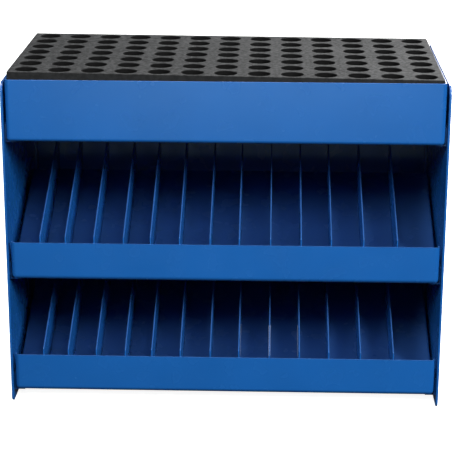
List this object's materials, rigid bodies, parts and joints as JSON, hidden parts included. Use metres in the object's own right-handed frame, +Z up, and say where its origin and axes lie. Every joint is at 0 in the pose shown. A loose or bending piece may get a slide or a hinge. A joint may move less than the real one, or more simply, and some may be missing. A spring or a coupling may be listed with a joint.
{
  "type": "drill bit drawer case",
  "caption": "Blue sheet-steel bench case for twist drills: perforated foam tray on top, two sloping divided trays below.",
  "frame": {"origin": "under the middle of the case, on the surface that the side panels stand on", "axes": "+X across the case to the right as seen from the front, front faces -Y, +Z up"},
  "size_m": [0.4, 0.196, 0.316],
  "materials": {
    "blue_coat": "satin powder coat",
    "foam": "fine closed-cell foam, matte"
  },
  "bodies": {
    "case": {"side_panel_left": "blue_coat", "side_panel_right": "blue_coat", "back_panel": "blue_coat", "runner_top_left": "blue_coat", "runner_top_right": "blue_coat", "runner_middle_left": "blue_coat", "runner_middle_right": "blue_coat", "runner_bottom_left": "blue_coat", "runner_bottom_right": "blue_coat"},
    "top_tray_body": {"top_tray": "blue_coat"},
    "insert_body": {"tool_insert": "foam"},
    "middle_tray_body": {"middle_tray": "blue_coat", "divider_middle_01": "blue_coat", "divider_middle_02": "blue_coat", "divider_middle_03": "blue_coat", "divider_middle_04": "blue_coat", "divider_middle_05": "blue_coat", "divider_middle_06": "blue_coat", "divider_middle_07": "blue_coat", "divider_middle_08": "blue_coat", "divider_middle_09": "blue_coat", "divider_middle_10": "blue_coat", "divider_middle_11": "blue_coat", "divider_middle_12": "blue_coat", "divider_middle_13": "blue_coat"},
    "bottom_tray_body": {"bottom_tray": "blue_coat", "divider_bottom_01": "blue_coat", "divider_bottom_02": "blue_coat", "divider_bottom_03": "blue_coat", "divider_bottom_04": "blue_coat", "divider_bottom_05": "blue_coat", "divider_bottom_06": "blue_coat", "divider_bottom_07": "blue_coat", "divider_bottom_08": "blue_coat", "divider_bottom_09": "blue_coat", "divider_bottom_10": "blue_coat", "divider_bottom_11": "blue_coat", "divider_bottom_12": "blue_coat", "divider_bottom_13": "blue_coat"}
  },
  "joints": [
    {"name": "top_tray_slide", "type": "slide", "parent": "case", "child": "top_tray_body", "axis": [0, -1, 0], "range_m": [0, 0.12]},
    {"name": "middle_tray_slide", "type": "slide", "parent": "case", "child": "middle_tray_body", "axis": [0, -1, 0], "range_m": [0, 0.1]},
    {"name": "bottom_tray_slide", "type": "slide", "parent": "case", "child": "bottom_tray_body", "axis": [0, -1, 0], "range_m": [0, 0.1]},
    {"name": "insert_lift", "type": "slide", "parent": "top_tray_body", "child": "insert_body", "axis": [0, 0, 1], "range_m": [0, 0.07]}
  ]
}
